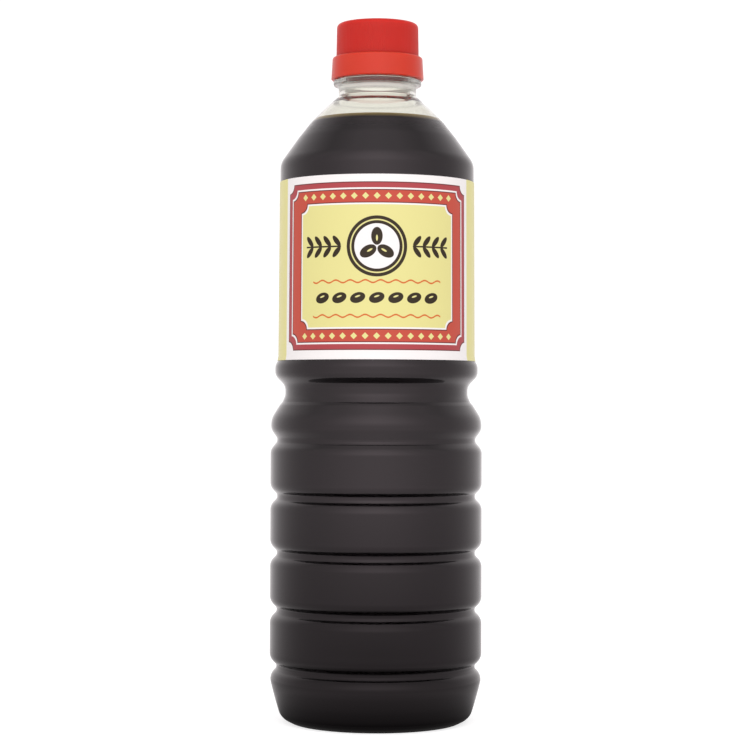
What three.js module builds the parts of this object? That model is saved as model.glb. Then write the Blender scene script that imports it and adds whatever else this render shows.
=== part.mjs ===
// One-litre clear plastic sauce bottle: grooved body, pinched waist, wrap-round label and a red
// two-piece closure, filled with dark sauce to the shoulder.
// Millimetres, +Z up. The axis of the bottle is Z and its standing ring lies in the plane z = 0.
import * as THREE from "three";

// Facets: sides round the axis, and how far a chord may leave the arc that it stands for
const SIDES = 28;
const CHORD_TOLERANCE = 0.28;

// Wall of the blown body, and the hairline gaps between neighbouring pieces
const WALL = 0.5;
const SAUCE_CLEARANCE = 0.1;
const LABEL_CLEARANCE = 0.05;
const CLOSURE_CLEARANCE = 0.35;

// Base: a shallow push-up inside a flat standing ring, then the heel
const PUSH_UP_HEIGHT = 6;
const PUSH_UP_CROWN_RADIUS = 12;
const PUSH_UP_CROWN_HEIGHT = 5.2;
const PUSH_UP_ROUND = 14;
const RING_INNER_RADIUS = 26.5;
const RING_INNER_ROUND = 2.5;
const RING_OUTER_RADIUS = 32.2;
const RING_OUTER_ROUND = 1.3;
const HEEL_RADIUS = 36.2;
const HEEL_HEIGHT = 2;
const HEEL_ROUND = 5.5;
const HEEL_TOP_RADIUS = 40.55;

// Body: grooves at an even pitch, each a rounded V, with plain bands between them.
// The top groove, under the swell, is shallower, with a longer upper slope.
const BODY_RADIUS = 40.4;
const GROOVE_COUNT = 4;
const FIRST_GROOVE_HEIGHT = 21.17;
const GROOVE_PITCH = 21.575;
const GROOVE_HALF_WIDTH = 3.38;
const GROOVE_DEPTH = 3.4;
const GROOVE_LIP_ROUND = 4.4;
const GROOVE_FLOOR_ROUND = 2;
const TOP_GROOVE_HEIGHT = 107.22;
const TOP_GROOVE_FALL = 3.6;
const TOP_GROOVE_RISE = 4.08;
const TOP_GROOVE_DEPTH = 3.05;

// Waist: a swell above the top groove, the pinched grip, and a second swell under the label
const LOWER_SWELL_RADIUS = 40.2;
const LOWER_SWELL_HEIGHT = 115.3;
const LOWER_SWELL_ROUND = 8;
const WAIST_RADIUS = 34.85;
const WAIST_HEIGHT = 126;
const WAIST_HALF_WIDTH = 1.8;
const WAIST_ROUND = 4;
const UPPER_SWELL_RADIUS = 38.73;
const UPPER_SWELL_BOTTOM = 131.95;
const UPPER_SWELL_TOP = 135.6;
const UPPER_SWELL_ROUND = 4;

// Label panel, shoulder and neck
const PANEL_BOTTOM = 138.1;
const PANEL_BOTTOM_RADIUS = 37.39;
const PANEL_ROUND = 1;
const PANEL_TOP = 212.8;
const PANEL_TOP_RADIUS = 37;
const SHOULDER_ROUND = 6.8;
const SHOULDER_MIDDLE_RADIUS = 25.9;
const SHOULDER_MIDDLE_HEIGHT = 228.5;
const SHOULDER_CURVE = 70;
const NECK_RADIUS = 14.9;
const NECK_BOTTOM = 238.65;
const NECK_ROUND = 0.3;
const NECK_BORE_RADIUS = 12.6;
const NECK_BORE_BOTTOM = 238.8;
const NECK_KNEE_RADIUS = 14.8;
const NECK_KNEE_HEIGHT = 236.4;
const THIN_WALL_TOP = 236.1;

// Support ring under the closure, and the plain finish that the closure covers
const SUPPORT_RING_RADIUS = 16.8;
const SUPPORT_RING_BOTTOM = 242.6;
const SUPPORT_RING_LIP = 242.75;
const SUPPORT_RING_TOP = 244.6;
const FINISH_RADIUS = 13.4;
const MOUTH_HEIGHT = 262;

// Contents and label
const SAUCE_LEVEL = 229.5;
const LABEL_BOTTOM = 137.45;
const LABEL_TOP = 205.45;
const LABEL_THICKNESS = 0.15;

// Closure: a smooth collar that stays on the neck, and the screw cap above it
const COLLAR_BOTTOM_RADIUS = 17.69;
const COLLAR_TOP_RADIUS = 17.2;
const COLLAR_TOP = 253.55;
const COLLAR_TOP_ROUND = 0.8;
const COLLAR_EDGE = 0.5;
const CAP_BOTTOM_RADIUS = 15.78;
const CAP_TOP_RADIUS = 15.54;
const CAP_TOP = 266.5;
const CAP_TOP_ROUND = 1.6;
const CAP_WALL = 1.6;

const corner = (radius, height, round = 0) => ({ point: new THREE.Vector2(radius, height), round });

// Straight runs between corners, with each corner replaced by the arc of its rounding radius.
// The arc is an even fan of chords about its centre, on the bisector of the corner.
function roundedProfile(corners) {
  const profile = [corners[0].point.clone()];
  for (let i = 1; i < corners.length - 1; i++) {
    const { point, round } = corners[i];
    const back = corners[i - 1].point.clone().sub(point).normalize();
    const ahead = corners[i + 1].point.clone().sub(point).normalize();
    const opening = Math.acos(THREE.MathUtils.clamp(back.dot(ahead), -1, 1));
    if (round === 0) {
      profile.push(point.clone());
      continue;
    }
    const centre = back.clone().add(ahead).setLength(round / Math.sin(opening / 2)).add(point);
    const tangent = round / Math.tan(opening / 2);
    const start = back.clone().multiplyScalar(tangent).add(point).sub(centre);
    const turn = Math.sign(back.cross(ahead)) * (opening - Math.PI);
    const chordAngle = 2 * Math.acos(1 - CHORD_TOLERANCE / round);
    const chords = Math.max(1, Math.ceil(Math.abs(turn) / chordAngle));
    for (let k = 0; k <= chords; k++) {
      profile.push(start.clone().rotateAround(new THREE.Vector2(), (turn * k) / chords).add(centre));
    }
  }
  profile.push(corners[corners.length - 1].point.clone());
  return profile;
}

// The same profile moved square to itself, to the left of its direction, with mitred joints.
// A point on the axis stays on it.
function offsetProfile(profile, distance) {
  return profile.map((point, i) => {
    const before = point.clone().sub(profile[Math.max(i - 1, 0)]).normalize();
    const after = profile[Math.min(i + 1, profile.length - 1)].clone().sub(point).normalize();
    const along = before.clone().add(after).normalize();
    const mitre = distance / along.dot(i === 0 ? after : before);
    const moved = new THREE.Vector2(-along.y, along.x).multiplyScalar(mitre).add(point);
    return point.x === 0 ? new THREE.Vector2(0, point.y + distance) : moved;
  });
}

// The stretch of a profile that lies between two heights, cut level where it rises through them.
function sliceProfile(profile, bottom, top) {
  const slice = [];
  for (let i = 1; i < profile.length; i++) {
    const low = profile[i - 1];
    const high = profile[i];
    for (const level of [bottom, top]) {
      if (low.y < level && level < high.y) {
        slice.push(low.clone().lerp(high, (level - low.y) / (high.y - low.y)));
      }
    }
    if (high.y > bottom && high.y < top) slice.push(high.clone());
  }
  return slice;
}

// A profile in the radius and height plane, turned about the Z axis into a closed solid.
function turned(profile) {
  return new THREE.LatheGeometry(profile, SIDES).rotateX(Math.PI / 2);
}

function grooveCorners(index) {
  const middle = FIRST_GROOVE_HEIGHT + index * GROOVE_PITCH;
  const below = index === 0 ? HEEL_TOP_RADIUS : BODY_RADIUS;
  return [
    corner(below, middle - GROOVE_HALF_WIDTH, GROOVE_LIP_ROUND),
    corner(BODY_RADIUS - GROOVE_DEPTH, middle, GROOVE_FLOOR_ROUND),
    corner(BODY_RADIUS, middle + GROOVE_HALF_WIDTH, GROOVE_LIP_ROUND),
  ];
}

// The outside of the blown body, from the middle of the base up to the neck
function bodyProfile() {
  const base = [
    corner(0, PUSH_UP_HEIGHT),
    corner(PUSH_UP_CROWN_RADIUS, PUSH_UP_CROWN_HEIGHT, PUSH_UP_ROUND),
    corner(RING_INNER_RADIUS, 0, RING_INNER_ROUND),
    corner(RING_OUTER_RADIUS, 0, RING_OUTER_ROUND),
    corner(HEEL_RADIUS, HEEL_HEIGHT, HEEL_ROUND),
  ];
  const grooves = Array.from({ length: GROOVE_COUNT }, (_, index) => grooveCorners(index)).flat();
  const waist = [
    corner(BODY_RADIUS, TOP_GROOVE_HEIGHT - TOP_GROOVE_FALL, GROOVE_LIP_ROUND),
    corner(BODY_RADIUS - TOP_GROOVE_DEPTH, TOP_GROOVE_HEIGHT, GROOVE_FLOOR_ROUND),
    corner(LOWER_SWELL_RADIUS, TOP_GROOVE_HEIGHT + TOP_GROOVE_RISE, GROOVE_LIP_ROUND),
    corner(LOWER_SWELL_RADIUS, LOWER_SWELL_HEIGHT, LOWER_SWELL_ROUND),
    corner(WAIST_RADIUS, WAIST_HEIGHT - WAIST_HALF_WIDTH, WAIST_ROUND),
    corner(WAIST_RADIUS, WAIST_HEIGHT + WAIST_HALF_WIDTH, WAIST_ROUND),
    corner(UPPER_SWELL_RADIUS, UPPER_SWELL_BOTTOM, UPPER_SWELL_ROUND),
    corner(UPPER_SWELL_RADIUS, UPPER_SWELL_TOP, UPPER_SWELL_ROUND),
  ];
  const shoulder = [
    corner(PANEL_BOTTOM_RADIUS, PANEL_BOTTOM, PANEL_ROUND),
    corner(PANEL_TOP_RADIUS, PANEL_TOP, SHOULDER_ROUND),
    corner(SHOULDER_MIDDLE_RADIUS, SHOULDER_MIDDLE_HEIGHT, SHOULDER_CURVE),
    corner(NECK_RADIUS, NECK_BOTTOM, NECK_ROUND),
    corner(NECK_RADIUS, SUPPORT_RING_BOTTOM),
  ];
  return roundedProfile([...base, ...grooves, ...waist, ...shoulder]);
}

const body = bodyProfile();
const blownPart = body.slice(0, -1);

// Bottle: the blown wall, the thick neck with its support ring, and the open mouth.
// Inside, the neck's bore flares at a knee into the thin wall of the shoulder.
function bottleGeometry() {
  const finish = [
    new THREE.Vector2(SUPPORT_RING_RADIUS, SUPPORT_RING_LIP),
    new THREE.Vector2(SUPPORT_RING_RADIUS, SUPPORT_RING_TOP),
    new THREE.Vector2(FINISH_RADIUS, SUPPORT_RING_TOP),
    new THREE.Vector2(FINISH_RADIUS, MOUTH_HEIGHT),
    new THREE.Vector2(NECK_BORE_RADIUS, MOUTH_HEIGHT),
    new THREE.Vector2(NECK_BORE_RADIUS, NECK_BORE_BOTTOM),
    new THREE.Vector2(NECK_KNEE_RADIUS, NECK_KNEE_HEIGHT),
  ];
  const inside = offsetProfile(blownPart, WALL);
  const thinWall = [inside[0], ...sliceProfile(inside, -Infinity, THIN_WALL_TOP)];
  return turned([...body, ...finish, ...thinWall.reverse()]);
}

// Sauce: fills the wall up to its level surface
function sauceGeometry() {
  const wetted = offsetProfile(blownPart, WALL + SAUCE_CLEARANCE);
  const side = sliceProfile(wetted, -Infinity, SAUCE_LEVEL);
  return turned([wetted[0], ...side, new THREE.Vector2(0, SAUCE_LEVEL)]);
}

// Label: a thin sleeve that follows the panel all round
function labelGeometry() {
  const inner = sliceProfile(offsetProfile(blownPart, -LABEL_CLEARANCE), LABEL_BOTTOM, LABEL_TOP);
  const outer = offsetProfile(inner, -LABEL_THICKNESS);
  return turned([...outer, ...inner.reverse(), outer[0].clone()]);
}

// Collar: a smooth ring, a little wider at its foot, that stands just above the support ring
function collarGeometry() {
  const bottom = SUPPORT_RING_TOP + CLOSURE_CLEARANCE;
  const bore = FINISH_RADIUS + CLOSURE_CLEARANCE;
  return turned(
    roundedProfile([
      corner(bore, bottom),
      corner(COLLAR_BOTTOM_RADIUS - COLLAR_EDGE, bottom),
      corner(COLLAR_BOTTOM_RADIUS, bottom + COLLAR_EDGE),
      corner(COLLAR_TOP_RADIUS, COLLAR_TOP, COLLAR_TOP_ROUND),
      corner(bore, COLLAR_TOP),
      corner(bore, bottom),
    ]),
  );
}

// Screw cap: a cup turned over the mouth, with a rounded top edge
function capGeometry() {
  const bottom = COLLAR_TOP + CLOSURE_CLEARANCE;
  const inside = CAP_BOTTOM_RADIUS - CAP_WALL;
  return turned(
    roundedProfile([
      corner(0, CAP_TOP - CAP_WALL),
      corner(inside, CAP_TOP - CAP_WALL),
      corner(inside, bottom),
      corner(CAP_BOTTOM_RADIUS, bottom),
      corner(CAP_TOP_RADIUS, CAP_TOP, CAP_TOP_ROUND),
      corner(0, CAP_TOP),
    ]),
  );
}

function piece(name, geometry, material) {
  const mesh = new THREE.Mesh(geometry, new THREE.MeshStandardMaterial(material));
  mesh.name = name;
  return mesh;
}

const clearPlastic = { color: 0xe4e6e2, roughness: 0.08, metalness: 0, transparent: true, opacity: 0.3 };
const darkSauce = { color: 0x1d1411, roughness: 0.12, metalness: 0 };
const printedFilm = { color: 0xe8e098, roughness: 0.4, metalness: 0 };
const redCap = { color: 0xcc342d, roughness: 0.42, metalness: 0 };
const redCollar = { color: 0xd74d40, roughness: 0.28, metalness: 0 };

const sauceBottle = new THREE.Group();
sauceBottle.add(
  piece("bottle", bottleGeometry(), clearPlastic),
  piece("soy_sauce", sauceGeometry(), darkSauce),
  piece("label", labelGeometry(), printedFilm),
  piece("pour_collar", collarGeometry(), redCollar),
  piece("screw_cap", capGeometry(), redCap),
);

export default sauceBottle;
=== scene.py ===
"""Looks of a one-litre clear bottle of dark sauce with a printed label and a red two-piece closure.

Profiles are in millimetres, in the plane of radius and height, and meshes are in metres. Angles round the
bottle start at the front of the label, which faces -Y, and grow towards +X.
"""

import math

import bpy
import numpy as np
from mathutils import Euler, Matrix, Vector


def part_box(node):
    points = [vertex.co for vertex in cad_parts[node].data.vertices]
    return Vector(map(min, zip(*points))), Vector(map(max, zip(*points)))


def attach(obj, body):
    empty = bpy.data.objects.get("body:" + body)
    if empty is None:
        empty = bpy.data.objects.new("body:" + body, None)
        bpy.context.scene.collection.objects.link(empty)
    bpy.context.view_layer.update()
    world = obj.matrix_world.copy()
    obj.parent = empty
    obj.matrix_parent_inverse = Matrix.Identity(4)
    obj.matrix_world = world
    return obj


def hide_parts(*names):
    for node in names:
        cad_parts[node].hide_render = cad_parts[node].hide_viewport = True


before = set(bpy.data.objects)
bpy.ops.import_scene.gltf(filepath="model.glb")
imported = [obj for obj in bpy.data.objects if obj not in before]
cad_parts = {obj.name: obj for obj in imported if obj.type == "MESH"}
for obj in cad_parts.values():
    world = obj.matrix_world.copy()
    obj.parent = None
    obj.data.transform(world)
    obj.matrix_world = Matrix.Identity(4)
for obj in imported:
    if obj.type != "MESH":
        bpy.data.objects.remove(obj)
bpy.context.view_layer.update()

MM = 0.001
BODY = "root"
TINY = 1e-6


def node_heights(node):
    """The lowest and highest point of a node of the frame, in millimetres."""
    low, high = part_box(node)
    return low[2] / MM, high[2] / MM


def linear(red, green, blue):
    """A display colour, 0 to 255, as linear light with full cover."""
    shares = np.array([red, green, blue]) / 255.0
    light = np.where(shares <= 0.04045, shares / 12.92, ((shares + 0.055) / 1.055) ** 2.4)
    return (*light.tolist(), 1.0)


# Facets: sides round the axis, the turn of one chord of an arc, and the short steps at the ends of a run
SIDES = 156
ARC_STEP = math.radians(7.5)
END_STEP = 0.8
LONG_RUN = 2.0

# Base and heel
PUSH_UP_HEIGHT = 6.0
PUSH_UP_CROWN_RADIUS = 12.0
PUSH_UP_CROWN_HEIGHT = 5.2
PUSH_UP_ROUND = 14.0
RING_INNER_RADIUS = 26.5
RING_INNER_ROUND = 2.5
RING_OUTER_RADIUS = 32.2
RING_OUTER_ROUND = 1.3
HEEL_RADIUS = 36.2
HEEL_HEIGHT = 2.0
HEEL_ROUND = 5.5
HEEL_MIDDLE_RADIUS = 38.85
HEEL_MIDDLE_HEIGHT = 10.6
HEEL_CURVE = 80.0
HEEL_TOP_RADIUS = 40.55

# Body grooves, each a rounded V at an even pitch, the top one shallower and with a longer upper slope
BODY_RADIUS = 40.4
GROOVE_COUNT = 4
FIRST_GROOVE_HEIGHT = 21.17
GROOVE_PITCH = 21.575
GROOVE_HALF_WIDTH = 3.38
GROOVE_DEPTH = 3.4
GROOVE_LIP_ROUND = 4.4
GROOVE_FLOOR_ROUND = 2.0
TOP_GROOVE_HEIGHT = 107.22
TOP_GROOVE_FALL = 3.6
TOP_GROOVE_RISE = 4.08
TOP_GROOVE_DEPTH = 3.05

# Waist between its two swells, with the faint step of a mould seam in its lower slope
LOWER_SWELL_RADIUS = 40.2
LOWER_SWELL_HEIGHT = 115.3
LOWER_SWELL_ROUND = 8.0
SEAM_BOTTOM_RADIUS = 36.94
SEAM_BOTTOM = 120.55
SEAM_TOP_RADIUS = 35.9
SEAM_TOP = 121.75
SEAM_ROUND = 1.2
WAIST_RADIUS = 34.85
WAIST_HEIGHT = 126.0
WAIST_HALF_WIDTH = 1.85
WAIST_ROUND = 4.2
UPPER_SWELL_RADIUS = 38.73
UPPER_SWELL_BOTTOM = 131.8
UPPER_SWELL_TOP = 135.6
UPPER_SWELL_ROUND = 4.0

# Label panel, shoulder, neck and support ring
PANEL_BOTTOM = 138.1
PANEL_BOTTOM_RADIUS = 37.39
PANEL_ROUND = 1.0
PANEL_TOP = 212.8
PANEL_TOP_RADIUS = 37.0
SHOULDER_ROUND = 6.8
SHOULDER_MIDDLE_RADIUS = 25.9
SHOULDER_MIDDLE_HEIGHT = 228.5
SHOULDER_CURVE = 70.0
NECK_RADIUS = 14.9
NECK_BOTTOM = 238.65
NECK_ROUND = 0.3
NECK_BORE_RADIUS = 12.6
NECK_BORE_BOTTOM = 238.8
NECK_BORE_ROUND = 0.2
NECK_KNEE_RADIUS = 14.8
NECK_KNEE_HEIGHT = 236.4
NECK_KNEE_ROUND = 0.15
THIN_WALL_TOP = 236.1
SUPPORT_RING_RADIUS = 16.8
SUPPORT_RING_BOTTOM = 242.6
SUPPORT_RING_LIP = 242.75
SUPPORT_RING_TOP = 244.6
SUPPORT_RING_ROUND = 0.4
SUPPORT_RING_ROOT_ROUND = 0.1
FINISH_RADIUS = 13.4
FINISH_ROUND = 0.3
MOUTH_HEIGHT = node_heights("bottle")[1]

# Wall and sauce
WALL = 0.5
SAUCE_BITE = 0.15
SAUCE_LEVEL = node_heights("soy_sauce")[1]
SAUCE_SURFACE_ROWS = 60
MENISCUS_RISE = 0.9
MENISCUS_REACH = 1.3

# Label
LABEL_BOTTOM, LABEL_TOP = node_heights("label")
LABEL_HEIGHT = LABEL_TOP - LABEL_BOTTOM
LABEL_GAP = 0.04
LABEL_FILM = 0.1
LABEL_RIM = 0.08
LABEL_LAP = 7.0
LABEL_ROWS = 40
LABEL_COLUMNS = 360
LABEL_GIRTH = 2 * math.pi * (PANEL_TOP_RADIUS + LABEL_FILM)
PRINT_MAP = "print"

# Closure
CLOSURE_BORE_RADIUS = 13.75
COLLAR_BOTTOM, COLLAR_TOP = node_heights("pour_collar")
COLLAR_BOTTOM_RADIUS = 17.69
COLLAR_TOP_RADIUS = 17.2
COLLAR_TOP_ROUND = 0.8
COLLAR_EDGE = 0.35
COLLAR_EDGE_ROUND = 0.2
CAP_BOTTOM = COLLAR_TOP + 0.02
CAP_TOP = node_heights("screw_cap")[1]
CAP_BOTTOM_RADIUS = 15.78
CAP_TOP_RADIUS = 15.54
CAP_TOP_ROUND = 1.6
CAP_WALL = 1.6
CAP_EDGE_ROUND = 0.25
RIB_COUNT = 120
RIB_SAMPLES = 8
RIB_DEPTH = 0.22
RIB_BOTTOM = CAP_BOTTOM + 0.8
RIB_TOP = CAP_TOP - 2.2
RIB_FADE = 0.6

# Clear plastic: its tint, and the haze and milkiness of the thick neck
PLASTIC_INDEX = 1.57
PLASTIC_TINTS = (linear(243, 243, 236), linear(246, 246, 239))
PLASTIC_SHINE = (1.0, 0.88, 0.93, 1.0)
PLASTIC_HAZE = 0.03
NECK_HAZE_BOTTOM = 239.6
NECK_HAZE = 0.22
NECK_MILK_BOTTOM = 240.2
NECK_MILK_TOP = SUPPORT_RING_BOTTOM + 0.3
NECK_MILK = 0.5
WET_TINT = (0.010, 0.004, 0.004, 1.0)
WET_FADE = 2.5

# Sauce: black in depth, with a painted amber glow just under its level that stands in for light shining
# through the thin sauce at its edge
SAUCE_DEPTH_COLOUR = (0.0035, 0.0011, 0.0014, 1.0)
SAUCE_EDGE_GLOW_COLOUR = linear(205, 178, 108)
SAUCE_GLOW_DEPTH = 1.5
SAUCE_DRIFT = 0.4
SAUCE_SHINE = 0.05
SAUCE_ROUGHNESS = 0.15

# Red plastics: colour, shine and least roughness, and how light spreads under their surface
CAP_RED = (0.495, 0.0145, 0.0085, 1.0)
CAP_SHINE = 0.25
CAP_ROUGHNESS = 0.4
COLLAR_RED = (0.54, 0.031, 0.0115, 1.0)
COLLAR_SHINE = 0.36
COLLAR_ROUGHNESS = 0.28
RED_DEEPER = 0.97
RED_GRAIN_ROUGHNESS = 0.1
RED_SPREAD_SHARE = 0.5
RED_SPREAD = (1.0, 0.12, 0.08)
RED_SPREAD_REACH = 0.010

# Inks, and the finish of the printed film
CREAM = linear(210, 203, 134)
WHITE = linear(225, 221, 220)
MAROON = linear(92, 30, 30)
CRIMSON = linear(160, 60, 65)
VERMILION = linear(180, 69, 53)
ORANGE = linear(197, 99, 39)
BROWN = linear(40, 28, 8)
PRINT_EDGE = 0.1
FILM_SHINE = 0.35
FILM_ROUGHNESS = 0.3
FILM_UNEVENNESS = 0.12

# Front panel and its frame. A band is given by its insets across and up from the frame's edge, and its ink
FRONT_HALF_WIDTH = 41.6
FRAME_FOOT = 3.4
FRAME_HEAD = 2.8
FRAME_HALF_WIDTH = 39.6
FRAME_HALF_HEIGHT = (LABEL_HEIGHT - FRAME_HEAD - FRAME_FOOT) / 2
FRAME_MIDDLE = FRAME_FOOT + FRAME_HALF_HEIGHT
FRAME_NOTCH = 3.2
FRAME_BANDS = (
    (0.0, 0.0, MAROON),
    (0.35, 0.35, CRIMSON),
    (2.2, 2.2, WHITE),
    (2.8, 2.8, MAROON),
    (3.15, 3.15, VERMILION),
)
FIELD_BANDS = ((7.85, 7.45, MAROON), (8.2, 7.8, WHITE), (8.8, 8.4, CREAM))
LOZENGE_PITCH = 4.2
LOZENGE_HALF_WIDTH = 1.25
LOZENGE_INSET = 5.2
LOZENGE_REACH = 31.5

# Seal and sprigs. A bean or leaf is given by its long and short radius
SEAL_HEIGHT = 41.5
SEAL_RADIUS = 11.2
SEAL_LINE_RADIUS = 9.7
SEAL_LINE_HALF_WIDTH = 0.25
SEAL_FIELD_RADIUS = 8.3
SEAL_BEANS = 3
SEAL_BEAN = (3.3, 2.1)
SEAL_BEAN_REACH = 3.7
SEAL_EYE = (1.1, 0.35)
SEAL_EYE_REACH = 3.0
SPRIG_MIDDLE = 21.0
STEM_HALF_LENGTH = 7.6
STEM_HALF_WIDTH = 0.3
LEAF = (2.4, 0.95)
LEAF_LEAN = math.radians(52)
LEAF_LIFT = 2.0
LEAF_PITCH = 3.9
LEAF_REACH = 7.8

# Row of beans between two wavy lines
ROW_HEIGHT = 22.6
ROW_EYE_HEIGHT = 23.1
ROW_PITCH = 7.0
ROW_REACH = 24.5
ROW_LEAN = math.radians(18)
ROW_BEAN = (2.9, 1.9)
ROW_EYE = (1.0, 0.3)
WAVE_HEIGHTS = (15.9, 28.6)
WAVE_LENGTH = 5.6
WAVE_RISE = 0.5
WAVE_HALF_WIDTH = 0.3
WAVE_REACH = 25.2

# Side panels, with a heading bar and rules. Heights here are above the label's middle
SIDE_MIDDLE = 82.0
SIDE_HALF_WIDTH = 27.0
SIDE_HALF_HEIGHT = 33.0
SIDE_EDGE = 0.7
RULE_HALF_LENGTH = 22.0
RULE_HALF_WIDTH = 0.28
RULE_PITCH = 4.4
RULE_MIDDLE = 3.0
RULE_REACH = 20.0
BAR_HEIGHT = 27.4
BAR_HALF_WIDTH = 2.2

# Camera: distance from the axis and height above the table, and the picture it takes
CAMERA_DISTANCE = 0.8469
CAMERA_HEIGHT = 0.12228
CAMERA_SIDE = -0.00017
CAMERA_PITCH = math.radians(0.64)
CAMERA_ROLL = math.radians(0.2)
CAMERA_LENS = 105.97
CAMERA_SENSOR = 36.0
CAMERA_NEAR = 0.01

# Floor, backdrop and the card that mirrors see in the floor's place
FLOOR_REACH = 6000.0
FLOOR_DROP = 0.02
FLOOR_GREY = 0.45
FLOOR_GLOW = 0.75
BACKDROP_REACH = 5900.0
BACKDROP_FOOT = -10.0
BACKDROP_GLOW = 1.1
CARD_DROP = 0.3
SHADE_START = 36.0
SHADE_WIDTH = 28.0
SHADE_LEAST = 0.1
DIM_WIDTH = 260.0
DIM_LEAST = 0.8

# Surround light, key light, and the flag round the bottle's foot
SURROUND_COLOUR = (1.0, 0.965, 0.972, 1.0)
SURROUND_LEAST = 0.75
SURROUND_GAIN = 0.4
SURROUND_FADE = 0.15
SURROUND_GLOW = 0.45
GLOW_RISE = 0.3
GLOW_EDGE = 10.0
SURROUND_DROP = 0.35
DROP_SLOPE = 4.0
DROP_START = 0.6
FOOT_FLAG = [(36.9, 0.0), (41.4, 17.0), (44.0, 30.0), (44.0, 90.0)]
FOOT_FLAG_REACH = 61.0
FOOT_FLAG_DIMMING = 0.6
FOOT_FLAG_ASIDE = 0.35
KEY_PLACE = (0.0, -0.9, 0.95)
KEY_SIZE = 0.9
KEY_POWER = 4.5


# Shapes


def rounded_profile(corners):
    """Straight runs between corners (radius, height, rounding), each corner replaced by an arc.

    The arc's centre is on the bisector of the corner, rounding / sin(half the opening) away, and the arc
    runs in even steps from one tangent point to the other.
    """
    points = np.array([place[:2] for place in corners], dtype=float)
    runs = [points[:1]]
    for before, at, after, (_, _, rounding) in zip(points, points[1:], points[2:], corners[1:]):
        if rounding == 0:
            runs.append(at[None])
            continue
        back = (before - at) / np.linalg.norm(before - at)
        ahead = (after - at) / np.linalg.norm(after - at)
        opening = math.acos(np.clip(back @ ahead, -1.0, 1.0))
        bisector = (back + ahead) / np.linalg.norm(back + ahead)
        centre = at + bisector * rounding / math.sin(opening / 2)
        spoke = at + back * rounding / math.tan(opening / 2) - centre
        turn = (opening - math.pi) * np.sign(back[0] * ahead[1] - back[1] * ahead[0])
        angles = np.linspace(0.0, turn, max(2, math.ceil(abs(turn) / ARC_STEP) + 1))
        cosines, sines = np.cos(angles), np.sin(angles)
        arc = np.stack([spoke[0] * cosines - spoke[1] * sines, spoke[0] * sines + spoke[1] * cosines], axis=1)
        runs.append(centre + arc)
    runs.append(points[-1:])
    return np.concatenate(runs)


def eased(profile):
    """The profile with a short step marked off at both ends of each long straight run.

    Shading turns only over these short steps, so that the rest of the run stays flat.
    """
    low, high = profile[:-1], profile[1:]
    lengths = np.linalg.norm(high - low, axis=1)
    step = (high - low) * (END_STEP / np.maximum(lengths, END_STEP))[:, None]
    long = lengths > LONG_RUN
    places = np.stack([low, low + step, high - step], axis=1)
    marked = np.stack([np.full(len(long), True), long, long], axis=1)
    return np.concatenate([places[marked], profile[-1:]])


def offset_profile(profile, distance):
    """The profile moved square to itself, towards the axis where it climbs, with mitred joints.

    Each point moves along the normal of the mean direction of its two runs, by distance over the cosine of
    half the turn there. A point on the axis only rises.
    """
    directions = np.diff(profile, axis=0)
    directions /= np.linalg.norm(directions, axis=1, keepdims=True)
    before = np.concatenate([directions[:1], directions])
    after = np.concatenate([directions, directions[-1:]])
    along = before + after
    along /= np.linalg.norm(along, axis=1, keepdims=True)
    normal = np.stack([-along[:, 1], along[:, 0]], axis=1)
    moved = profile + normal * (distance / np.sum(along * before, axis=1))[:, None]
    on_axis = profile[:, 0] == 0
    moved[on_axis] = profile[on_axis] + [0.0, distance]
    return moved


def cut_at(profile, height):
    """The profile up to the point where it first climbs through a height, with that point added."""
    last = int(np.argmax((profile[:-1, 1] < height) & (profile[1:, 1] >= height)))
    low, high = profile[last], profile[last + 1]
    crossing = low + (high - low) * (height - low[1]) / (high[1] - low[1])
    return np.concatenate([profile[: last + 1], crossing[None]])


def radius_at(profile, heights):
    """The radius of a climbing profile at given heights, by straight interpolation."""
    return np.interp(heights, profile[:, 1], profile[:, 0])


def grid_mesh(name, points, closed_section=False, closed_round=True):
    """A mesh over a grid of points in millimetres: rows along the section, columns round the axis.

    Each cell is a quad. A row that lies on the axis becomes one vertex, and its cells become triangles.
    """
    rows, columns = points.shape[:2]
    index = np.arange(rows * columns).reshape(rows, columns)
    pole = np.all(np.hypot(points[..., 0], points[..., 1]) < TINY, axis=1)
    index[pole] = index[pole, :1]
    used, index = np.unique(index, return_inverse=True)
    index = index.reshape(rows, columns)
    low = index if closed_section else index[:-1]
    high = np.roll(index, -1, axis=0) if closed_section else index[1:]
    left = np.arange(columns if closed_round else columns - 1)
    right = (left + 1) % columns
    cells = np.stack([low[:, left], low[:, right], high[:, right], high[:, left]], axis=-1).reshape(-1, 4)
    from_pole = cells[:, 0] == cells[:, 1]
    to_pole = cells[:, 2] == cells[:, 3]
    faces = cells[~from_pole & ~to_pole].tolist()
    faces += cells[from_pole][:, 1:].tolist()
    faces += cells[to_pole][:, :3].tolist()
    if not closed_round:
        faces += [index[:, 0].tolist(), index[::-1, -1].tolist()]
    mesh = bpy.data.meshes.new(name)
    mesh.from_pydata(points.reshape(-1, 3)[used] * MM, [], faces)
    mesh.update()
    mesh.polygons.foreach_set("use_smooth", np.ones(len(mesh.polygons), dtype=bool))
    return mesh


def carried_round(section_radius, section_height, angles):
    """A grid of points: x = r sin a, y = -r cos a, z = h, for the angles a along its columns."""
    height = np.repeat(section_height[:, None], len(angles), axis=1)
    return np.stack([section_radius * np.sin(angles), -section_radius * np.cos(angles), height], axis=-1)


def turned(name, profile, sides=SIDES, relief=None, closed_section=False):
    """A profile turned about the axis in even angles.

    relief, if given, makes a grid of millimetres that are added to the radius.
    """
    angles = np.arange(sides) * 2 * math.pi / sides
    radius = np.repeat(profile[:, :1], sides, axis=1)
    if relief is not None:
        radius = radius + relief(profile, angles)
    return grid_mesh(name, carried_round(radius, profile[:, 1], angles), closed_section)


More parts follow.
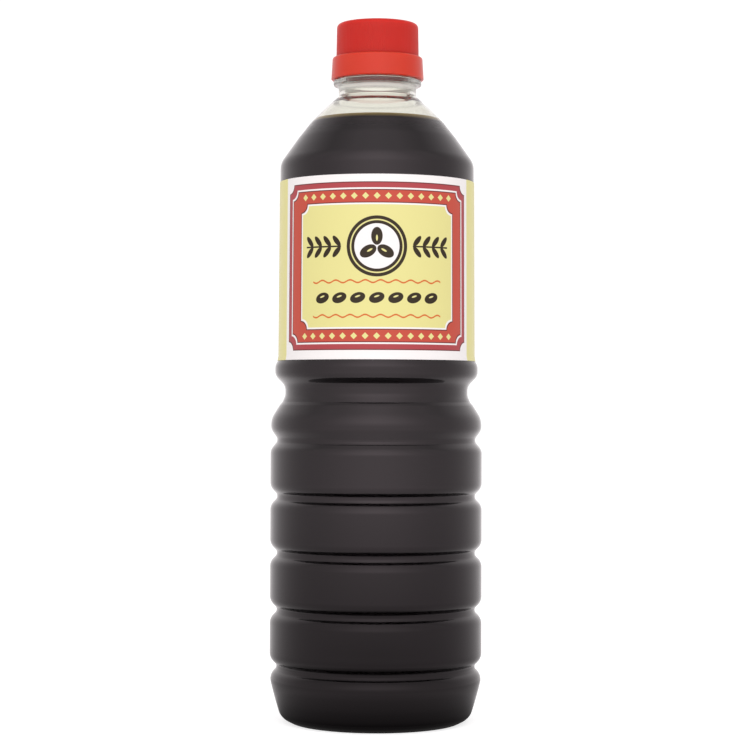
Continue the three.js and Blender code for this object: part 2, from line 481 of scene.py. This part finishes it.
def piece(mesh, node, material):
    """An object for a finished mesh that rides on the bottle's body and stands for a node of the frame."""
    made = bpy.data.objects.new(mesh.name, mesh)
    bpy.context.scene.collection.objects.link(made)
    mesh.materials.append(material)
    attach(made, BODY)
    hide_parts(node)
    return made


# Bottle, sauce, label and closure


def groove_corners(number):
    """The two lips and the floor of one of the body's even grooves."""
    middle = FIRST_GROOVE_HEIGHT + number * GROOVE_PITCH
    below = HEEL_TOP_RADIUS if number == 0 else BODY_RADIUS
    return [
        (below, middle - GROOVE_HALF_WIDTH, GROOVE_LIP_ROUND),
        (BODY_RADIUS - GROOVE_DEPTH, middle, GROOVE_FLOOR_ROUND),
        (BODY_RADIUS, middle + GROOVE_HALF_WIDTH, GROOVE_LIP_ROUND),
    ]


def blown_profile():
    """The outside of the blown body, from the middle of the base up to the foot of the neck."""
    base = [
        (0.0, PUSH_UP_HEIGHT, 0.0),
        (PUSH_UP_CROWN_RADIUS, PUSH_UP_CROWN_HEIGHT, PUSH_UP_ROUND),
        (RING_INNER_RADIUS, 0.0, RING_INNER_ROUND),
        (RING_OUTER_RADIUS, 0.0, RING_OUTER_ROUND),
        (HEEL_RADIUS, HEEL_HEIGHT, HEEL_ROUND),
        (HEEL_MIDDLE_RADIUS, HEEL_MIDDLE_HEIGHT, HEEL_CURVE),
    ]
    grooves = [place for number in range(GROOVE_COUNT) for place in groove_corners(number)]
    waist = [
        (BODY_RADIUS, TOP_GROOVE_HEIGHT - TOP_GROOVE_FALL, GROOVE_LIP_ROUND),
        (BODY_RADIUS - TOP_GROOVE_DEPTH, TOP_GROOVE_HEIGHT, GROOVE_FLOOR_ROUND),
        (LOWER_SWELL_RADIUS, TOP_GROOVE_HEIGHT + TOP_GROOVE_RISE, GROOVE_LIP_ROUND),
        (LOWER_SWELL_RADIUS, LOWER_SWELL_HEIGHT, LOWER_SWELL_ROUND),
        (SEAM_BOTTOM_RADIUS, SEAM_BOTTOM, SEAM_ROUND),
        (SEAM_TOP_RADIUS, SEAM_TOP, SEAM_ROUND),
        (WAIST_RADIUS, WAIST_HEIGHT - WAIST_HALF_WIDTH, WAIST_ROUND),
        (WAIST_RADIUS, WAIST_HEIGHT + WAIST_HALF_WIDTH, WAIST_ROUND),
        (UPPER_SWELL_RADIUS, UPPER_SWELL_BOTTOM, UPPER_SWELL_ROUND),
        (UPPER_SWELL_RADIUS, UPPER_SWELL_TOP, UPPER_SWELL_ROUND),
    ]
    shoulder = [
        (PANEL_BOTTOM_RADIUS, PANEL_BOTTOM, PANEL_ROUND),
        (PANEL_TOP_RADIUS, PANEL_TOP, SHOULDER_ROUND),
        (SHOULDER_MIDDLE_RADIUS, SHOULDER_MIDDLE_HEIGHT, SHOULDER_CURVE),
        (NECK_RADIUS, NECK_BOTTOM, NECK_ROUND),
        (NECK_RADIUS, SUPPORT_RING_BOTTOM, 0.0),
    ]
    return rounded_profile(base + grooves + waist + shoulder)[:-1]


def bottle_mesh(blown):
    """The clear wall: the blown outside, the support ring and finish, then back down the inside.

    The neck's bore flares at a knee into the inside of the thin wall, which is the outside moved in by
    the wall's thickness.
    """
    inside = cut_at(offset_profile(blown, WALL), THIN_WALL_TOP)[::-1]
    finish = rounded_profile(
        [
            (*blown[-1], 0.0),
            (NECK_RADIUS, SUPPORT_RING_BOTTOM, SUPPORT_RING_ROOT_ROUND),
            (SUPPORT_RING_RADIUS, SUPPORT_RING_LIP, SUPPORT_RING_ROUND),
            (SUPPORT_RING_RADIUS, SUPPORT_RING_TOP, SUPPORT_RING_ROUND),
            (FINISH_RADIUS, SUPPORT_RING_TOP, FINISH_ROUND),
            (FINISH_RADIUS, MOUTH_HEIGHT, FINISH_ROUND),
            (NECK_BORE_RADIUS, MOUTH_HEIGHT, FINISH_ROUND),
            (NECK_BORE_RADIUS, NECK_BORE_BOTTOM, NECK_BORE_ROUND),
            (NECK_KNEE_RADIUS, NECK_KNEE_HEIGHT, NECK_KNEE_ROUND),
            (*inside[0], 0.0),
        ]
    )
    return turned("bottle_wall", eased(np.concatenate([blown, finish[1:-1], inside])))


def sauce_mesh(blown):
    """The sauce: it fills the wall and a little of its thickness, and climbs the wall in a meniscus.

    Its surface meets the wall at the level, and falls away from it by the rise times one less e to the
    power of minus the distance from the wall over the reach.
    """
    side = cut_at(offset_profile(blown, WALL - SAUCE_BITE), SAUCE_LEVEL)
    rim = side[-1, 0]
    inward = rim * (1 - np.linspace(0.0, 1.0, SAUCE_SURFACE_ROWS)[1:] ** 2)
    surface = SAUCE_LEVEL - MENISCUS_RISE * (1 - np.exp(-(rim - inward) / MENISCUS_REACH))
    return turned("sauce_fill", np.concatenate([eased(side), np.stack([inward, surface], axis=1)]))


def label_mesh(blown):
    """The label: a film wrapped once round the panel, its end lapped over its start behind.

    The section is a thin upright strip that follows the panel, carried round by the angle. Its radius
    rises by one film, as a smooth step, where the end crosses the start. Its own map runs round the panel
    from the back and up from the label's foot, both from 0 to 1.
    """
    heights = np.linspace(LABEL_BOTTOM + LABEL_RIM, LABEL_TOP - LABEL_RIM, LABEL_ROWS)
    heights = np.concatenate([[LABEL_BOTTOM], heights, [LABEL_TOP]])
    inner = radius_at(blown[np.argmax(blown[:, 1] > PANEL_BOTTOM / 2) :], heights) + LABEL_GAP
    section_radius = np.concatenate([inner + LABEL_FILM, inner[::-1]])
    section_height = np.concatenate([heights, heights[::-1]])
    lap = LABEL_LAP / PANEL_TOP_RADIUS
    angles = np.linspace(-math.pi, math.pi + lap, LABEL_COLUMNS)
    climb = np.clip((angles - math.pi + lap) / lap, 0.0, 1.0)
    lift = (LABEL_FILM + LABEL_GAP) * climb**2 * (3 - 2 * climb)
    points = carried_round(section_radius[:, None] + lift, section_height, angles)
    mesh = grid_mesh("label_film", points, closed_section=True, closed_round=False)
    turn = angles / (2 * math.pi) + 0.5
    rise = (section_height - LABEL_BOTTOM) / LABEL_HEIGHT
    place = np.stack(np.meshgrid(turn, rise), axis=-1).reshape(-1, 2)
    corners = np.empty(len(mesh.loops), dtype=np.int32)
    mesh.loops.foreach_get("vertex_index", corners)
    mesh.uv_layers.new(name=PRINT_MAP).data.foreach_set("uv", place[corners].ravel())
    return mesh


def collar_mesh():
    """The smooth collar: a ring with a small bevel at its foot and a rounded top edge."""
    seam = (CLOSURE_BORE_RADIUS, (COLLAR_BOTTOM + COLLAR_TOP) / 2, 0.0)
    corners = [
        seam,
        (CLOSURE_BORE_RADIUS, COLLAR_BOTTOM, COLLAR_EDGE_ROUND),
        (COLLAR_BOTTOM_RADIUS - COLLAR_EDGE, COLLAR_BOTTOM, COLLAR_EDGE_ROUND),
        (COLLAR_BOTTOM_RADIUS, COLLAR_BOTTOM + COLLAR_EDGE, COLLAR_EDGE_ROUND),
        (COLLAR_TOP_RADIUS, COLLAR_TOP, COLLAR_TOP_ROUND),
        (CLOSURE_BORE_RADIUS, COLLAR_TOP, COLLAR_EDGE_ROUND),
        seam,
    ]
    return turned("collar_ring", eased(rounded_profile(corners))[:-1], closed_section=True)


def rib_relief(profile, angles):
    """Upright ribs: a rounded wave round the cap, faded out towards the ends of the ribbed band."""
    height = profile[:, 1]
    outside = profile[:, 0] > CAP_BOTTOM_RADIUS - CAP_WALL / 2
    ends = np.clip(np.minimum(height - RIB_BOTTOM, RIB_TOP - height) / RIB_FADE, 0.0, 1.0)
    wave = np.abs(np.cos(angles * RIB_COUNT / 2)) - 1.0
    return RIB_DEPTH * (ends * outside)[:, None] * wave[None]


def cap_mesh():
    """The screw cap: a cup over the mouth, with a rounded top edge and fine upright ribs."""
    inside = CAP_BOTTOM_RADIUS - CAP_WALL
    corners = [
        (0.0, CAP_TOP - CAP_WALL, 0.0),
        (inside, CAP_TOP - CAP_WALL, CAP_EDGE_ROUND),
        (inside, CAP_BOTTOM, CAP_EDGE_ROUND),
        (CAP_BOTTOM_RADIUS, CAP_BOTTOM, CAP_EDGE_ROUND),
        (CAP_TOP_RADIUS, CAP_TOP, CAP_TOP_ROUND),
        (0.0, CAP_TOP, 0.0),
    ]
    profile = eased(rounded_profile(corners))
    return turned("cap_shell", profile, sides=RIB_COUNT * RIB_SAMPLES, relief=rib_relief)


# Materials


class Field:
    """A number that varies over a surface. Arithmetic on fields becomes the material's own nodes."""

    def __init__(self, tree, socket):
        self.tree = tree
        self.socket = socket

    def made(self, operation, *others, clamp=False):
        """The result of one arithmetic node on this field and others, which may be plain numbers."""
        node = self.tree.nodes.new("ShaderNodeMath")
        node.operation = operation
        node.use_clamp = clamp
        for entry, value in zip(node.inputs, (self, *others)):
            if isinstance(value, Field):
                self.tree.links.new(value.socket, entry)
            else:
                entry.default_value = value
        return Field(self.tree, node.outputs[0])

    def __add__(self, other):
        return self.made("ADD", other)

    def __sub__(self, other):
        return self.made("SUBTRACT", other)

    def __mul__(self, other):
        return self.made("MULTIPLY", other)

    def __truediv__(self, other):
        return self.made("DIVIDE", other)

    def __neg__(self):
        return self.made("MULTIPLY", -1.0)

    def __abs__(self):
        return self.made("ABSOLUTE")

    def wrapped(self, pitch):
        """The offset from the nearest multiple of a pitch."""
        return self.made("WRAP", pitch / 2, -pitch / 2)

    def within(self, other):
        """The larger of two distances: inside both shapes."""
        return self.made("MAXIMUM", other)

    def joined(self, other):
        """The smaller of two distances: inside either shape."""
        return self.made("MINIMUM", other)

    def clamped(self):
        """The field held between 0 and 1."""
        return self.made("MULTIPLY", 1.0, clamp=True)

    def length(self, other):
        """The length of a vector with these two parts."""
        return (self * self + other * other).made("SQRT")

    def inked(self, softness):
        """1 inside a shape and 0 outside, from the distance to its edge, over a narrow soft edge."""
        return (self / -softness).made("ADD", 0.5, clamp=True)


def new_material(name):
    """An empty node material with one surface shader: (material, node tree, shader)."""
    material = bpy.data.materials.new(name)
    material.use_nodes = True
    tree = material.node_tree
    return material, tree, tree.nodes["Principled BSDF"]


def object_noise(tree, scale, detail):
    """Soft noise in the bottle's own space, as a field from 0 to 1."""
    place = tree.nodes.new("ShaderNodeTexCoord")
    noise = tree.nodes.new("ShaderNodeTexNoise")
    noise.inputs["Scale"].default_value = scale
    noise.inputs["Detail"].default_value = detail
    tree.links.new(place.outputs["Object"], noise.inputs["Vector"])
    return Field(tree, noise.outputs["Fac"])


def object_place(tree):
    """The three coordinates of a point in its own space, in millimetres, as fields."""
    parts = tree.nodes.new("ShaderNodeSeparateXYZ")
    tree.links.new(tree.nodes.new("ShaderNodeTexCoord").outputs["Object"], parts.inputs[0])
    return [Field(tree, parts.outputs[axis]) / MM for axis in "XYZ"]


def blended(tree, share, first, second):
    """A colour between two, by a field from 0 to 1. Each colour is a value or an earlier blend's output."""
    mix = tree.nodes.new("ShaderNodeMix")
    mix.data_type = "RGBA"
    tree.links.new(share.socket, mix.inputs["Factor"])
    for entry, colour in ((mix.inputs["A"], first), (mix.inputs["B"], second)):
        if isinstance(colour, bpy.types.NodeSocket):
            tree.links.new(colour, entry)
        else:
            entry.default_value = colour
    return mix.outputs["Result"]


def add_bump(tree, shader, height, strength, distance):
    """Fine relief on a shader's normal from a field."""
    bump = tree.nodes.new("ShaderNodeBump")
    bump.inputs["Strength"].default_value = strength
    bump.inputs["Distance"].default_value = distance
    tree.links.new(height.socket, bump.inputs["Height"])
    tree.links.new(bump.outputs["Normal"], shader.inputs["Normal"])


def clear_plastic():
    """Clear blown plastic with slight waviness and a little haze, as dark as the sauce where that wets it.

    The thick neck is hazier, and milky under the support ring.
    """
    material, tree, shader = new_material("clear_plastic")
    height = object_place(tree)[2]
    shader.inputs["IOR"].default_value = PLASTIC_INDEX
    shader.inputs["Specular Tint"].default_value = PLASTIC_SHINE
    milky = (height - NECK_MILK_BOTTOM).clamped() * (-height + NECK_MILK_TOP).clamped()
    tree.links.new((-milky * NECK_MILK + 1.0).socket, shader.inputs["Transmission Weight"])
    tint = blended(tree, object_noise(tree, scale=30.0, detail=2.0), *PLASTIC_TINTS)
    wet = ((-height + (SAUCE_LEVEL - WET_FADE)) / WET_FADE).clamped()
    tree.links.new(blended(tree, wet, tint, WET_TINT), shader.inputs["Base Color"])
    haze = object_noise(tree, scale=90.0, detail=3.0) * PLASTIC_HAZE
    thick = (height - NECK_HAZE_BOTTOM).clamped() * NECK_HAZE
    tree.links.new((haze + thick).socket, shader.inputs["Roughness"])
    add_bump(tree, shader, object_noise(tree, scale=40.0, detail=1.0), strength=0.02, distance=0.0006)
    return material


def dark_sauce():
    """Sauce that is all but black in depth, with a painted amber glow in a band just under its level,
    standing in for light through thin sauce.
    """
    material, tree, shader = new_material("dark_sauce")
    depth = (-object_place(tree)[2] + SAUCE_LEVEL) / SAUCE_GLOW_DEPTH
    drift = (object_noise(tree, scale=40.0, detail=2.0) - 0.5) * SAUCE_DRIFT
    # Painted glow: an amber colour down to a small depth under the level stands in for light shining through
    # the thin sauce there
    colour = blended(tree, (depth + drift).clamped(), SAUCE_EDGE_GLOW_COLOUR, SAUCE_DEPTH_COLOUR)
    tree.links.new(colour, shader.inputs["Base Color"])
    shader.inputs["Specular IOR Level"].default_value = SAUCE_SHINE
    shader.inputs["Roughness"].default_value = SAUCE_ROUGHNESS
    return material


def red_plastic(name, shade, shine, roughness):
    """Moulded red plastic: a slightly uneven colour, and fine mould grain in its roughness and relief."""
    material, tree, shader = new_material(name)
    deeper = (*(RED_DEEPER * part for part in shade[:3]), 1.0)
    colour = blended(tree, object_noise(tree, scale=160.0, detail=3.0), deeper, shade)
    tree.links.new(colour, shader.inputs["Base Color"])
    grain = object_noise(tree, scale=2600.0, detail=1.0)
    tree.links.new((grain * RED_GRAIN_ROUGHNESS + roughness).socket, shader.inputs["Roughness"])
    shader.inputs["Specular IOR Level"].default_value = shine
    shader.inputs["Subsurface Weight"].default_value = RED_SPREAD_SHARE
    shader.inputs["Subsurface Radius"].default_value = RED_SPREAD
    shader.inputs["Subsurface Scale"].default_value = RED_SPREAD_REACH
    add_bump(tree, shader, grain, strength=0.02, distance=0.00003)
    return material


# Label print: each shape is a distance in millimetres over the flat label, inked where it is below zero


def box_distance(across, up, half_width, half_height):
    """Distance to a rectangle about the origin of two fields, below zero inside it."""
    return (abs(across) - half_width).within(abs(up) - half_height)


def bean_distance(across, up, tilt, long_radius, short_radius):
    """Distance to an ellipse turned by an angle, close enough near its edge."""
    along = across * math.cos(tilt) + up * math.sin(tilt)
    side = up * math.cos(tilt) - across * math.sin(tilt)
    return ((along / long_radius).length(side / short_radius) - 1.0) * short_radius


def notched_distance(across, up, half_width, half_height):
    """Distance to a rectangle about the origin whose corners are cut out by quarter circles."""
    aside = abs(across) - half_width
    above = abs(up) - half_height
    return aside.within(above).within(-aside.length(above) + FRAME_NOTCH)


def band_layer(across, up, inset_across, inset_up, ink):
    """One band of the frame: a notched rectangle, smaller than the frame by its insets."""
    size = (FRAME_HALF_WIDTH - inset_across, FRAME_HALF_HEIGHT - inset_up)
    return notched_distance(across, up, *size), ink


def frame_layers(across, up):
    """A white front panel with a banded red frame, lozenges along its head and foot, and a cream field."""
    up = up - FRAME_MIDDLE
    along = abs(across.wrapped(LOZENGE_PITCH))
    away = abs(abs(up) - (FRAME_HALF_HEIGHT - LOZENGE_INSET))
    lozenges = ((along + away) / LOZENGE_HALF_WIDTH - 1.0).within(abs(across) - LOZENGE_REACH)
    front = [(abs(across) - FRONT_HALF_WIDTH, WHITE)]
    outer = [band_layer(across, up, *band) for band in FRAME_BANDS]
    inner = [band_layer(across, up, *band) for band in FIELD_BANDS]
    return front + outer + [(lozenges, CREAM)] + inner


def seal_layers(across, up):
    """A round seal with a thin line round it, and beans that lean out from its middle in even turns."""
    up = up - SEAL_HEIGHT
    radius = across.length(up)
    line = abs(radius - SEAL_LINE_RADIUS) - SEAL_LINE_HALF_WIDTH
    layers = [(radius - SEAL_RADIUS, BROWN), (line, CREAM), (radius - SEAL_FIELD_RADIUS, WHITE)]
    for number in range(SEAL_BEANS):
        lean = math.pi / 2 + number * 2 * math.pi / SEAL_BEANS
        for reach, size, ink in ((SEAL_BEAN_REACH, SEAL_BEAN, BROWN), (SEAL_EYE_REACH, SEAL_EYE, CREAM)):
            place = (across - reach * math.cos(lean), up - reach * math.sin(lean))
            layers.append((bean_distance(*place, lean, *size), ink))
    return layers


def sprig_layers(across, up):
    """A sprig on each side of the seal: a stem with pairs of leaves at an even pitch."""
    along = abs(across) - SPRIG_MIDDLE
    up = up - SEAL_HEIGHT
    stem = box_distance(along, up, STEM_HALF_LENGTH, STEM_HALF_WIDTH)
    place = (along + LEAF_PITCH / 2).wrapped(LEAF_PITCH)
    leaves = bean_distance(place, abs(up) - LEAF_LIFT, LEAF_LEAN, *LEAF).within(abs(along) - LEAF_REACH)
    return [(stem.joined(leaves), BROWN)]


def row_layers(across, up):
    """A row of leaning beans at an even pitch, between two wavy lines."""
    aside = abs(across)
    place = across.wrapped(ROW_PITCH)
    layers = []
    for height, size, ink in ((ROW_HEIGHT, ROW_BEAN, BROWN), (ROW_EYE_HEIGHT, ROW_EYE, CREAM)):
        beans = bean_distance(place, up - height, ROW_LEAN, *size)
        layers.append((beans.within(aside - ROW_REACH), ink))
    for height in WAVE_HEIGHTS:
        wave = up - height - (across * (2 * math.pi / WAVE_LENGTH)).made("SINE") * WAVE_RISE
        layers.append(((abs(wave) - WAVE_HALF_WIDTH).within(aside - WAVE_REACH), ORANGE))
    return layers


def side_layers(across, up):
    """A white panel on each side with a thin red edge, even rules, and a red bar above them."""
    beside = abs(across) - SIDE_MIDDLE
    up = up - LABEL_HEIGHT / 2
    edge = box_distance(beside, up, SIDE_HALF_WIDTH, SIDE_HALF_HEIGHT)
    rule_up = up - RULE_MIDDLE
    rules = box_distance(beside, rule_up.wrapped(RULE_PITCH), RULE_HALF_LENGTH, RULE_HALF_WIDTH)
    bar = box_distance(beside, up - BAR_HEIGHT, RULE_HALF_LENGTH, BAR_HALF_WIDTH)
    return [
        (edge, CRIMSON),
        (edge + SIDE_EDGE, WHITE),
        (rules.within(abs(rule_up) - RULE_REACH), BROWN),
        (bar, VERMILION),
    ]


def printed_film():
    """The label's film: a cream wrap under the layers of its print, with a slightly uneven satin finish.

    The print is laid out across from the label's front middle and up from its foot.
    """
    material, tree, shader = new_material("printed_film")
    wrap = tree.nodes.new("ShaderNodeUVMap")
    wrap.uv_map = PRINT_MAP
    parts = tree.nodes.new("ShaderNodeSeparateXYZ")
    tree.links.new(wrap.outputs["UV"], parts.inputs[0])
    across = (Field(tree, parts.outputs["X"]) - 0.5) * LABEL_GIRTH
    up = Field(tree, parts.outputs["Y"]) * LABEL_HEIGHT
    colour = CREAM
    for layers in (frame_layers, seal_layers, sprig_layers, row_layers, side_layers):
        for distance, ink in layers(across, up):
            colour = blended(tree, distance.inked(PRINT_EDGE), colour, ink)
    tree.links.new(colour, shader.inputs["Base Color"])
    sheen = object_noise(tree, scale=220.0, detail=2.0) * FILM_UNEVENNESS + FILM_ROUGHNESS
    tree.links.new(sheen.socket, shader.inputs["Roughness"])
    shader.inputs["Specular IOR Level"].default_value = FILM_SHINE
    add_bump(tree, shader, object_noise(tree, scale=70.0, detail=2.0), strength=0.08, distance=0.0004)
    return material


# Stage


def staged(mesh, material):
    """An object for a mesh of the studio, which isn't part of the bottle."""
    mesh.materials.append(material)
    made = bpy.data.objects.new(mesh.name, mesh)
    bpy.context.scene.collection.objects.link(made)
    return made


def only_mirrored(thing):
    """Keep a thing of the studio out of all but mirror images."""
    thing.visible_camera = thing.visible_diffuse = thing.visible_transmission = thing.visible_shadow = False


def flat_square(name, height):
    """A level square about the axis."""
    side = np.array([-FLOOR_REACH, FLOOR_REACH])
    points = np.stack([*np.meshgrid(side, side), np.full((2, 2), height)], axis=-1)
    mesh = bpy.data.meshes.new(name)
    mesh.from_pydata(points.reshape(-1, 3) * MM, [], [[0, 1, 3, 2]])
    return mesh


def matt_material(name, grey, glow_colour):
    """A matt grey material that glows in a colour: (material, node tree, shader)."""
    material, tree, shader = new_material(name)
    shader.inputs["Base Color"].default_value = (grey, grey, grey, 1.0)
    shader.inputs["Specular IOR Level"].default_value = 0.0
    shader.inputs["Emission Color"].default_value = glow_colour
    return material, tree, shader


def surround_brightness(across, along, up):
    """Brightness of the surround in a direction (x, y, z), greatest in front and above the horizon.

    A share y^2 / (x^2 + y^2 + SURROUND_FADE z^2) takes it from the least value up by the gain. In front, the
    glow times the share squared comes in above the horizon, and from near the top backwards the drop times
    z^2 is taken off.
    """
    share = along * along / (across * across + along * along + up * up * SURROUND_FADE + TINY)
    glow = (up / GLOW_RISE).clamped() * (along * -GLOW_EDGE).clamped() * share * share * SURROUND_GLOW
    drop = (along * DROP_SLOPE + DROP_START).clamped() * up.clamped() * up.clamped() * SURROUND_DROP
    return share * SURROUND_GAIN + SURROUND_LEAST + glow - drop


def add_floor():
    """A plain pale floor, which mirror images leave out."""
    material, _, shader = matt_material("pale_floor", FLOOR_GREY, (1.0, 1.0, 1.0, 1.0))
    shader.inputs["Emission Strength"].default_value = FLOOR_GLOW
    staged(flat_square("floor", -FLOOR_DROP), material).visible_glossy = False


def add_card():
    """What mirror images see in the floor's place: a card as bright as the surround, dim near the bottle.

    Its shade climbs from a least value over one width from the bottle, and on more slowly over a second.
    """
    material, tree, shader = matt_material("shaded_card", 0.0, SURROUND_COLOUR)
    across, along, up = object_place(tree)
    apart = across.length(along) - SHADE_START
    shade = (apart / SHADE_WIDTH).clamped() * (1 - SHADE_LEAST) + SHADE_LEAST
    dim = (apart / DIM_WIDTH).clamped() * (1 - DIM_LEAST) + DIM_LEAST
    brightness = surround_brightness(across, along, up) * (shade * dim)
    tree.links.new(brightness.socket, shader.inputs["Emission Strength"])
    only_mirrored(staged(flat_square("shaded_card", -CARD_DROP), material))


def add_backdrop():
    """A white wall all round, far off, that only the camera sees."""
    material, _, shader = matt_material("backdrop", 0.0, (1.0, 1.0, 1.0, 1.0))
    shader.inputs["Emission Strength"].default_value = BACKDROP_GLOW
    material.cycles.emission_sampling = "NONE"
    profile = np.array([(BACKDROP_REACH, BACKDROP_FOOT), (BACKDROP_REACH, 2 * BACKDROP_REACH)])
    wall = staged(turned("backdrop", profile), material)
    wall.visible_diffuse = wall.visible_glossy = wall.visible_transmission = wall.visible_shadow = False


def add_foot_flag():
    """A thin turned sheet round the bottle's foot that only mirrored light meets, and that dims it.

    The dimming is the depth below the sheet's top over its reach, in full in front, and falls with the cube
    of the distance ahead to a lesser share from the sides on.
    """
    material, tree, _ = new_material("foot_flag")
    _, along, up = object_place(tree)
    ahead = (along / -FOOT_FLAG[-1][0]).clamped()
    facing = ahead * ahead * ahead * (1 - FOOT_FLAG_ASIDE) + FOOT_FLAG_ASIDE
    dimming = ((-up + FOOT_FLAG[-1][1]) / FOOT_FLAG_REACH).clamped() * facing * FOOT_FLAG_DIMMING
    sheet = tree.nodes.new("ShaderNodeBsdfTransparent")
    tree.links.new((-dimming + 1.0).socket, sheet.inputs["Color"])
    tree.links.new(sheet.outputs[0], tree.nodes["Material Output"].inputs["Surface"])
    only_mirrored(staged(turned("foot_flag", np.array(FOOT_FLAG)), material))


def add_light():
    """A soft white surround, brightest in front and behind, and a large key light above the camera."""
    world = bpy.data.worlds.new("studio")
    world.use_nodes = True
    tree = world.node_tree
    background = tree.nodes["Background"]
    background.inputs["Color"].default_value = SURROUND_COLOUR
    parts = tree.nodes.new("ShaderNodeSeparateXYZ")
    tree.links.new(tree.nodes.new("ShaderNodeTexCoord").outputs["Generated"], parts.inputs[0])
    brightness = surround_brightness(*(Field(tree, parts.outputs[axis]) for axis in "XYZ"))
    tree.links.new(brightness.socket, background.inputs["Strength"])
    bpy.context.scene.world = world
    key = bpy.data.objects.new("key_light", bpy.data.lights.new("key_light", "AREA"))
    key.data.size = KEY_SIZE
    key.data.energy = KEY_POWER
    key.location = KEY_PLACE
    aim = Vector((0.0, 0.0, (LABEL_BOTTOM + LABEL_TOP) / 2 * MM)) - key.location
    key.rotation_euler = aim.to_track_quat("-Z", "Y").to_euler()
    key.visible_camera = key.visible_glossy = key.visible_transmission = False
    bpy.context.scene.collection.objects.link(key)


def add_camera():
    """The camera, a little below the label and turned up slightly, as the picture was taken."""
    camera = bpy.data.objects.new("camera", bpy.data.cameras.new("camera"))
    camera.data.lens = CAMERA_LENS
    camera.data.sensor_width = CAMERA_SENSOR
    camera.data.clip_start = CAMERA_NEAR
    camera.location = (CAMERA_SIDE, -CAMERA_DISTANCE, CAMERA_HEIGHT)
    level = Euler((math.pi / 2 + CAMERA_PITCH, 0.0, 0.0)).to_matrix()
    camera.rotation_euler = (level @ Matrix.Rotation(CAMERA_ROLL, 3, "Z")).to_euler()
    bpy.context.scene.collection.objects.link(camera)
    bpy.context.scene.camera = camera


add_camera()
add_light()
add_floor()
add_card()
add_backdrop()
add_foot_flag()
blown = blown_profile()
collar_red = red_plastic("collar_red", COLLAR_RED, COLLAR_SHINE, COLLAR_ROUGHNESS)
cap_red = red_plastic("cap_red", CAP_RED, CAP_SHINE, CAP_ROUGHNESS)
piece(bottle_mesh(blown), "bottle", clear_plastic())
piece(sauce_mesh(blown), "soy_sauce", dark_sauce())
piece(label_mesh(blown), "label", printed_film())
piece(collar_mesh(), "pour_collar", collar_red)
piece(cap_mesh(), "screw_cap", cap_red)
bpy.context.scene.view_settings.view_transform = "Standard"
